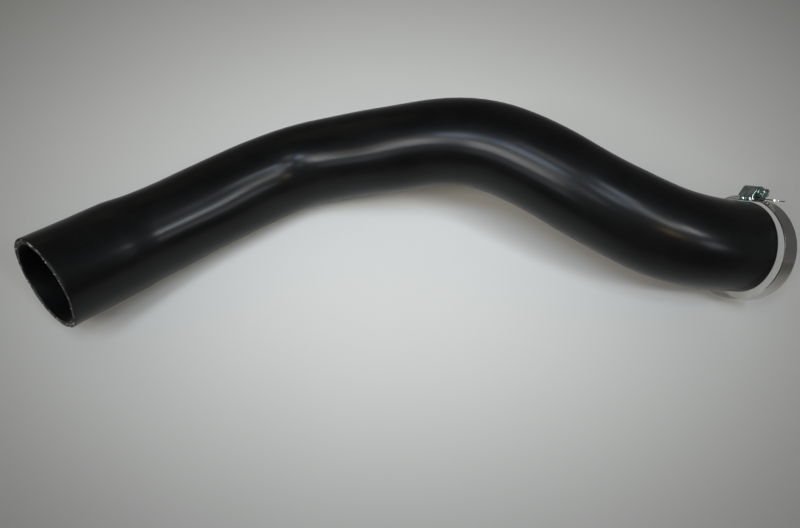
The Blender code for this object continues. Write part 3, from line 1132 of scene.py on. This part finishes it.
@dataclass
class Band:
    """The steel strip of the clamp: one lap round the hose, and out through the housing as a tail."""

    sizes: ClampSizes
    side_points: int = 7
    arc_points: int = 7
    row_step: float = 2.0 * MM
    tip_rows: int = 9
    slot_rings: tuple[float, ...] = (0.0, 0.35, 1.0)
    lean_pitches: float = 2.0
    edge_r: float = 0.22 * MM
    sharp: float = radians(50)

    def length(self) -> float:
        """Adds up the stretches of the strip's line.

        Returns:
            The strip's length from its fixed end to the tip of its tail.
        """
        s = self.sizes
        round_part = s.band_r * (TURN - 2 * s.bend_turn)
        loop = 2 * s.flat_half + 2 * s.bend_r * s.bend_turn + round_part
        return loop - s.gap + s.flat_half + s.housing_length / 2 + s.tail_length

    def line(self, travel: Array) -> Array:
        """Carries distances along the strip onto the middle of its thickness.

        The line is a flat under the housing, a bend, the large round, a bend, and the flat again
        one lap higher, which runs on straight as the tail. Each stretch has its own formula, and a
        distance picks the stretch that it falls in.

        Args:
            travel: distances from the strip's fixed end.

        Returns:
            The points, as (x, y) of the clamp's own axes.
        """
        s = self.sizes
        turn, flat, centre_y = s.bend_turn, s.flat_half, s.flat_y - s.bend_r
        bend, round_part = s.bend_r * turn, s.band_r * (TURN - 2 * turn)
        along = travel - (flat - s.gap)
        first = along - flat
        middle = first - bend
        last = middle - round_part
        end = last - bend
        angles = [first / s.bend_r, turn + middle / s.band_r, last / s.bend_r - turn]
        ramp = smooth_step((angles[1] - (TURN - turn - s.ramp_angle)) / s.ramp_angle)
        round_r = s.band_r + s.lap * ramp
        choices = [first < 0, middle < 0, last < 0, end < 0]
        x = np.select(choices, [along, flat + s.bend_r * np.sin(angles[0]), round_r * np.sin(angles[1]),
                                -flat + (s.bend_r + s.lap) * np.sin(angles[2])], end - flat)
        y = np.select(choices, [np.full_like(along, s.flat_y), centre_y + s.bend_r * np.cos(angles[0]),
                                round_r * np.cos(angles[1]),
                                centre_y + (s.bend_r + s.lap) * np.cos(angles[2])], s.flat_y + s.lap)
        return np.stack([x, y], axis=-1)

    def rings(self) -> tuple[Array, Array]:
        """Outlines one slot and, point for point, the stretch of strip that it sits in.

        The slot has straight long sides and half-circle ends, and the stretch is a rectangle one
        pitch long.

        Returns:
            The slot's ring and the stretch's, as (travel, across) points from the slot's middle.
        """
        s = self.sizes
        half_w = s.slot_width / 2
        half_l = s.slot_reach / 2 - half_w
        reach, edge = s.slot_pitch / 2, s.width / 2
        sides = np.linspace(-half_l, half_l, self.side_points)
        arc = np.linspace(0, pi, self.arc_points + 2)[1:-1]
        climb = np.linspace(half_l, edge, (self.arc_points + 1) // 2)[1:]

        def column(place: float, values: Array) -> Array:
            """Points at one travel and several places across."""
            return np.stack([np.full(len(values), place), values], axis=-1)

        slot_half = np.vstack([column(half_w, sides),
                               np.stack([half_w * np.cos(arc), half_l + half_w * np.sin(arc)], axis=-1)])
        cell_half = np.vstack([column(reach, sides), column(reach, climb), [[0.0, edge]],
                               column(-reach, climb[::-1])])
        return np.vstack([slot_half, -slot_half]), np.vstack([cell_half, -cell_half])

    def across(self) -> Array:
        """Places across the strip of the points that a slotted stretch and a plain one share."""
        cell = self.rings()[1]
        return np.unique(np.round(cell[cell[:, 0] > self.sizes.slot_pitch / 4][:, 1], 9))

    def plain_rows(self, start: float, end: float, near_start: bool) -> tuple[Array, Array]:
        """Travel and place across for the points of a plain stretch beside the slots.

        A row leans as the slots do at the slotted end, and the lean fades within a few rows.

        Args:
            start: travel where the stretch starts.
            end: travel where it ends.
            near_start: whether the slots lie before it, and not after it.

        Returns:
            Two grids, row by row along the strip.
        """
        s = self.sizes
        rows = np.linspace(start, end, max(int((end - start) / self.row_step), 2) + 1)
        if near_start:
            past = s.tip_corner_r * (1 - np.cos(np.linspace(0, pi / 2, self.tip_rows)))[::-1]
            rows = np.concatenate([rows[rows < end - s.tip_corner_r], end - past])
        from_slots = rows - start if near_start else end - rows
        lean = s.slot_slant * (1 - smooth_step(from_slots / (self.lean_pitches * s.slot_pitch)))
        into_tip = np.clip(rows - (self.length() - s.tip_corner_r), 0, s.tip_corner_r)
        half = s.width / 2 - s.tip_corner_r + np.sqrt(s.tip_corner_r ** 2 - into_tip ** 2)
        across = self.across()[None, :] * (half / (s.width / 2))[:, None]
        return rows[:, None] + lean[:, None] * across, across

    def build(self, seat: ClampSeat, finish: bpy.types.Material) -> bpy.types.Object:
        """Builds the strip: a plain stretch, slotted stretches and the tail, given their thickness.

        Args:
            seat: the clamp's place.
            finish: the strip's finish.

        Returns:
            The piece.
        """
        s = self.sizes
        first = self.length() - s.slot_to_tip - s.slot_count * s.slot_pitch
        slotted_start = first + s.slot_width / 2 - s.slot_pitch / 2
        slotted_end = slotted_start + s.slot_count * s.slot_pitch
        slot, cell = self.rings()
        middles = slotted_start + s.slot_pitch * (np.arange(s.slot_count) + 0.5)
        level = np.array(self.slot_rings)[:, None, None]
        stretch = slot * (1 - level) + cell * level
        across = np.broadcast_to(stretch[..., 1], (s.slot_count, *stretch.shape[:2]))
        travel = middles[:, None, None] + stretch[None, ..., 0] + s.slot_slant * across
        size = len(level) * len(slot)
        faces = [repeat_faces(grid_faces(len(level), len(slot), False, True), s.slot_count, size)]
        travels, places = [travel.ravel()], [across.ravel()]
        count = s.slot_count * size
        for start, end, near_start in ((0.0, slotted_start, False), (slotted_end, self.length(), True)):
            travel, across = self.plain_rows(start, end, near_start)
            faces.append(grid_faces(*travel.shape, False, False) + count)
            count += travel.size
            travels.append(travel.ravel())
            places.append(across.ravel())
        travel, across = np.concatenate(travels), np.concatenate(places)
        local = np.column_stack([self.line(travel), across])
        laid = np.column_stack([across, np.zeros_like(across), travel])
        mesh = mesh_from("band_strip", seat.place(local), np.vstack(faces), laid)
        piece = show(mesh, finish)
        sheet = piece.modifiers.new("thickness", "SOLIDIFY")
        sheet.thickness = s.thickness
        sheet.offset = 0.0
        sheet.use_even_offset = True
        round_edges(piece, self.edge_r, self.sharp)
        return piece


def prism(name: str, outline: Array, length: float, seat: ClampSeat, middle: float = 0.0) -> bpy.types.Mesh:
    """Builds a closed prism: one outline, carried along the clamp's x.

    Args:
        name: the mesh's name.
        outline: its outline, as (z, y) points of the clamp's own axes.
        length: its length along x.
        seat: the clamp's place.
        middle: the x of its middle.

    Returns:
        The mesh, with both ends filled.
    """
    x = np.array([middle - length / 2, middle + length / 2])[:, None]
    local = np.stack(np.broadcast_arrays(x, outline[:, 1], outline[:, 0]), axis=-1)
    mesh = mesh_from(name, seat.place(local), grid_faces(2, len(outline), False, True))
    close_ends(mesh)
    return mesh


def oblong(low_y: float, high_y: float, half_width: float) -> Array:
    """Outline of a rectangle, as (z, y)."""
    return np.array([(-half_width, low_y), (half_width, low_y), (half_width, high_y), (-half_width, high_y)])


def circle(radius: float, y: float, sides: int = 48) -> Array:
    """Outline of a circle, as (z, y): radius times cosine and sine of the turn."""
    turned = TURN * np.arange(sides) / sides
    return np.column_stack([radius * np.cos(turned), y + radius * np.sin(turned)])


@dataclass
class Housing:
    """The clamp's pressed housing: walls round both layers of the strip, and a chamber for the worm."""

    sizes: ClampSizes
    top_sides: int = 40
    edge_r: float = 0.28 * MM
    sharp: float = radians(40)
    lug_edge_r: float = 0.12 * MM
    weld_apart: float = 0.01 * MM
    lug_apart: float = 5.6 * MM
    lug_length: float = 2.6 * MM
    lug_low: float = 0.5 * MM
    lug_high: float = 2.6 * MM
    lug_proud: float = 0.4 * MM

    def keyhole(self, base_y: float, half_width: float, shoulder_y: float, radius: float) -> Array:
        """Outlines strip and screw: flat base, upright sides, straight shoulders up to a round top.

        The shoulders touch the round top where a line from the shoulder's corner grazes it.

        Args:
            base_y: height of the base.
            half_width: half the width between the sides.
            shoulder_y: height where the sides end and the shoulders start.
            radius: radius of the round top about the screw's axis.

        Returns:
            The outline, as (z, y) points.
        """
        drop = self.sizes.screw_y - shoulder_y
        reach = sqrt(half_width ** 2 + drop ** 2)
        touch = acos(radius / reach) - asin(drop / reach)
        arc = np.linspace(touch, pi - touch, self.top_sides)
        top = np.column_stack([radius * np.cos(arc), self.sizes.screw_y + radius * np.sin(arc)])
        right = [(half_width, base_y), (half_width, shoulder_y)]
        return np.vstack([right, top, [(-half_width, shoulder_y), (-half_width, base_y)]])

    def build(self, seat: ClampSeat, finish: bpy.types.Material) -> bpy.types.Object:
        """Builds the housing, with rounded bends and the folded lugs that lock its floor.

        Args:
            seat: the clamp's place.
            finish: the housing's finish.

        Returns:
            The piece.
        """
        s = self.sizes
        inner_half, inner_r = s.width / 2 + s.gap, s.worm_r + s.gap
        outer_half = inner_half + s.sheet
        shell = self.keyhole(s.saddle_y, outer_half, s.lap_top_y + s.sheet, inner_r + s.sheet)
        piece = show(prism("screw_housing", shell, s.housing_length, seat), finish)
        round_edges(piece, self.edge_r, self.sharp, 3)
        for side in (-1, 1):
            for middle in (-self.lug_apart / 2, self.lug_apart / 2):
                lug = oblong(s.saddle_y + self.lug_low, s.saddle_y + self.lug_high, self.lug_proud)
                lug[:, 0] += side * outer_half
                folded = show(prism("lug", lug, self.lug_length, seat, middle), finish)
                round_edges(folded, self.lug_edge_r, self.sharp)
                combine(piece, folded, "UNION")
        chamber = self.keyhole(s.saddle_top_y, inner_half, s.lap_top_y, inner_r)
        combine(piece, show(prism("chamber", chamber, s.housing_length - 2 * s.sheet, seat), None))
        opening = oblong(s.saddle_top_y, s.lap_top_y + s.gap, inner_half)
        combine(piece, show(prism("strip_opening", opening, 2 * s.housing_length, seat), None))
        hole = circle(s.neck_r + s.gap, s.screw_y)
        combine(piece, show(prism("neck_hole", hole, 2 * s.housing_length, seat), None))
        weld(piece, self.weld_apart)
        return piece


@dataclass
class Screw:
    """The worm screw: a right-hand thread between two necks, a collar, and a slotted hexagon head."""

    sizes: ClampSizes
    columns: int = 72
    thread_step: float = 0.2 * MM
    thread_depth: float = 0.9 * MM
    corner_share: float = 0.965
    edge_r: float = 0.12 * MM
    chamfer: float = 0.45 * MM
    crown: float = 0.08 * MM
    crown_share: float = 0.2
    tooth_rise: float = 0.9
    fade_pitches: float = 1 / 3
    sharp: float = radians(38)

    def hexagon(self, turned: Array) -> Array:
        """Works out the head's hexagon: half its width over the cosine of the turn from the nearest flat.

        The corners are held to a little under their full radius, as on a formed head.

        Args:
            turned: angles round the screw's axis.

        Returns:
            The radius at each angle.
        """
        from_corner = np.mod(turned - pi / 2, pi / 3)
        flat = self.sizes.head_across / 2 / np.cos(from_corner - pi / 6)
        return np.minimum(flat, self.sizes.head_corner_r * self.corner_share)

    def worm(self, x: float, turned: Array, end: float) -> Array:
        """Works out the worm: its core, raised by a rounded tooth where x leads the turn by a whole pitch.

        The tooth fades out towards both ends of the worm.

        Args:
            x: place along the screw's axis, from the middle of the housing.
            turned: angles round the axis.
            end: half the worm's length.

        Returns:
            The radius at each angle.
        """
        s = self.sizes
        phase = x / s.slot_pitch - turned / TURN
        tooth = np.clip(0.5 + self.tooth_rise * np.cos(TURN * phase), 0, 1)
        fade = smooth_step((end - np.abs(x)) / (self.fade_pitches * s.slot_pitch))
        return s.worm_r - self.thread_depth * (1 - tooth * fade)

    def build(self, seat: ClampSeat, finish: bpy.types.Material) -> bpy.types.Object:
        """Builds the screw: rings of points about its axis, each ring at one radius or on the hexagon.

        Args:
            seat: the clamp's place.
            finish: the screw's finish.

        Returns:
            The piece.
        """
        s = self.sizes
        half = s.housing_length / 2
        worm_end = half - s.sheet - s.gap
        face = half + s.gap
        collar = face + s.collar_thickness
        top = collar + s.head_height
        turned = TURN * np.arange(self.columns) / self.columns

        def round_rows(*rows: tuple[float, float]) -> list[tuple[float, Array]]:
            """Rows that are circles, from their places along the axis and their radii."""
            return [(x, np.full(self.columns, r)) for x, r in rows]

        e = self.edge_r
        start = -half - s.tip
        rows = round_rows((start, 0.0), (start, s.neck_r - e), (start + e, s.neck_r), (-worm_end, s.neck_r))
        rows += [(x, self.worm(x, turned, worm_end))
                 for x in np.arange(-worm_end, worm_end + WELD, self.thread_step)]
        rows += round_rows((worm_end, s.neck_r), (face, s.neck_r), (face, s.collar_r - e),
                           (face + e, s.collar_r), (collar - e, s.collar_r), (collar, s.collar_r - e))
        hexagon = self.hexagon(turned)
        chamfer_r = s.head_across / 2 * self.corner_share
        rows += [(collar, hexagon + e), (collar + e, hexagon), (top - self.chamfer, hexagon)]
        rows.append((top - self.chamfer / 3, np.minimum(hexagon, (2 * chamfer_r + s.head_corner_r) / 3)))
        rows.append((top, np.minimum(hexagon, chamfer_r) - e))
        rows += round_rows((top + self.crown, self.crown_share * s.head_across), (top + self.crown, 0.0))
        x = np.array([row[0] for row in rows])[:, None]
        radius = np.stack([row[1] for row in rows])
        local = np.stack(np.broadcast_arrays(x, s.screw_y + radius * np.cos(turned),
                                             radius * np.sin(turned)), axis=-1)
        faces = grid_faces(len(rows), self.columns, False, True)
        piece = show(mesh_from("worm_screw", seat.place(local), faces), finish)
        slot = oblong(s.screw_y - s.driver_width / 2, s.screw_y + s.driver_width / 2, s.collar_r)
        combine(piece, show(prism("driver_slot", slot, 2 * s.driver_depth, seat, top), None))
        piece.data.set_sharp_from_angle(angle=self.sharp)
        return piece


@dataclass(frozen=True)
class Lamp:
    """A flat rectangular lamp that faces the object.

    Its azimuth is counted in degrees round from the camera's side, with the right side positive,
    and its height in degrees above the level.
    """

    name: str
    azimuth: float
    height: float
    size: tuple[float, float]
    watts: float
    colour: Colour
    far: float = 1.8
    aim: tuple[float, float, float] = (0.0, 0.0, 0.05)

    def light(self) -> None:
        """Hangs the lamp far out in its direction from its aim, and turns it towards its aim."""
        data = bpy.data.lights.new(self.name, "AREA")
        data.shape = "RECTANGLE"
        data.size, data.size_y = self.size
        data.energy = self.watts
        data.color = self.colour
        a, h = radians(self.azimuth), radians(self.height)
        way = Vector((sin(a) * cos(h), -cos(a) * cos(h), sin(h)))
        lamp = bpy.data.objects.new(self.name, data)
        lamp.location = Vector(self.aim) + self.far * way
        lamp.rotation_euler = (-way).to_track_quat("-Z", "Y").to_euler()
        bpy.context.scene.collection.objects.link(lamp)


LAMPS = (
    Lamp("left_low", -36, 23, (0.40, 0.30), 1.1, (0.85, 0.92, 1.0)),
    Lamp("left_window", -40, 38, (0.25, 0.24), 4.4, (0.94, 0.98, 1.0)),
    Lamp("left_window_core", -41, 45, (0.12, 0.13), 2.0, (0.92, 0.97, 1.0)),
    Lamp("left_window_side", -49, 46, (0.24, 0.28), 1.8, (1.0, 0.90, 0.76)),
    Lamp("left_window_top", -34, 49, (0.22, 0.22), 1.1, (1.0, 0.86, 0.66)),
    Lamp("left_high", -40, 61, (0.32, 0.36), 6.6, (0.62, 0.78, 1.0)),
    Lamp("left_over", -30, 77, (0.36, 0.30), 1.6, (0.95, 0.96, 0.94)),
    Lamp("front_left", -15, 46, (0.30, 0.30), 0.9, (0.84, 0.92, 1.0)),
    Lamp("front_high", 8, 61, (0.30, 0.30), 2.9, (0.72, 0.83, 1.0)),
    Lamp("front_warm", 25, 36, (0.22, 0.22), 1.3, (1.0, 0.72, 0.38)),
    Lamp("right_high", 33, 58, (0.28, 0.34), 2.9, (0.84, 0.91, 1.0)),
    Lamp("right_window", 38, 48, (0.24, 0.24), 2.2, (0.97, 1.0, 0.90)),
    Lamp("right_window_side", 51, 44, (0.20, 0.26), 4.5, (0.88, 0.95, 1.0)),
    Lamp("right_top", 42, 69, (0.28, 0.26), 3.2, (0.76, 0.87, 1.0)),
    Lamp("right_low", 45, 26, (0.34, 0.28), 1.8, (0.82, 0.90, 1.0)),
    Lamp("back_left", -135, 40, (0.8, 0.8), 0.4, (1.0, 0.97, 0.60)),
)


@dataclass(frozen=True)
class Studio:
    """The camera, the table, the lamps and the room's own light."""

    lens_mm: float = 27.585
    sensor_mm: float = 36.0
    camera_place: tuple[float, float, float] = (-1.37 * MM, -305.65 * MM, 405.84 * MM)
    camera_tilt: float = radians(35.5)
    table_rings: tuple[float, ...] = (0.0, 0.5, 2.0, 6.0)
    table_sides: int = 64
    room: Colour = (0.115, 0.092, 0.062)

    def place_camera(self) -> None:
        """Puts the camera where the photograph was taken from."""
        data = bpy.data.cameras.new("camera")
        data.lens = self.lens_mm
        data.sensor_width = self.sensor_mm
        camera = bpy.data.objects.new("camera", data)
        camera.location = self.camera_place
        camera.rotation_euler = (self.camera_tilt, 0.0, 0.0)
        bpy.context.scene.collection.objects.link(camera)
        bpy.context.scene.camera = camera

    def lay_table(self, finish: bpy.types.Material) -> None:
        """Lays the table top, a flat disc at z = 0, as rings of points of growing radius.

        Args:
            finish: the table's finish.
        """
        radii = np.array(self.table_rings)[:, None]
        turned = TURN * np.arange(self.table_sides) / self.table_sides
        points = np.stack(np.broadcast_arrays(radii * np.cos(turned), radii * np.sin(turned), 0.0), axis=-1)
        mesh = mesh_from("table_top", points, grid_faces(len(radii), self.table_sides, False, True))
        table = show(mesh, finish)
        if table.data.polygons[0].normal.z < 0:
            table.data.flip_normals()

    def light_room(self) -> None:
        """Gives the room a dim even light, and a grey backdrop for the camera and for what mirrors it."""
        world = bpy.data.worlds.new("room")
        world.use_nodes = True
        bpy.context.scene.world = world
        wiring = Wiring(world.node_tree)
        colour = world.node_tree.nodes["Background"].inputs["Color"]
        wiring.feed(colour, wiring.mix(wiring.seen(), self.room, BACKDROP))
        for lamp in LAMPS:
            lamp.light()


def dress(piece: bpy.types.Object, body: str, slot: Slot, *nodes: str) -> None:
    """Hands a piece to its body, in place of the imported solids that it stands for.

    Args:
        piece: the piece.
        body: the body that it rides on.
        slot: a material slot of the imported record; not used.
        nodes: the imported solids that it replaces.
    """
    if nodes:
        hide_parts(*nodes)
    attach(piece, body)
    log.info("%s: %d faces, rides on %s", piece.name, len(piece.data.polygons), body)


def main() -> None:
    """Builds the studio, the hose and the clamp."""
    logging.basicConfig(level=logging.INFO)
    bpy.context.scene.view_settings.view_transform = "Standard"
    effects = Effects()
    studio = Studio()
    studio.place_camera()
    studio.lay_table(TableTop().make(effects))
    studio.light_room()
    hose, aim = Hose(), OutletAim()
    sizes = ClampSizes(hose.outer_r)
    joint = next(joint for joint in frame["joints"] if joint["name"] == SCREW_JOINT)
    seat = ClampSeat(np.array(joint["pos_m"]), aim, sizes)
    route = HoseRoute(seat.outlet, aim, hose.outer_r)
    yarn_rings = tuple(hose.outer_r - depth for depth in hose.yarn_depths)
    cut_end = CutRubber().make(effects, yarn_rings, hose.yarn_count)
    dress(hose.build(route, MouldedRubber().make(effects), cut_end), HOSE_BODY, Slot.RUBBER, "hose")
    dress(YarnEnds(hose).build(route, Yarn().make(effects)), HOSE_BODY, Slot.RUBBER)
    zinc = ZincPlate().make(effects)
    dress(Band(sizes).build(seat, RolledSteel().make(effects)), HOSE_BODY, Slot.STEEL, "clamp_band")
    dress(Housing(sizes).build(seat, zinc), HOSE_BODY, Slot.ZINC, "clamp_housing")
    dress(Screw(sizes).build(seat, zinc), SCREW_BODY, Slot.ZINC, "clamp_screw")


if __name__ == "__main__":
    main()
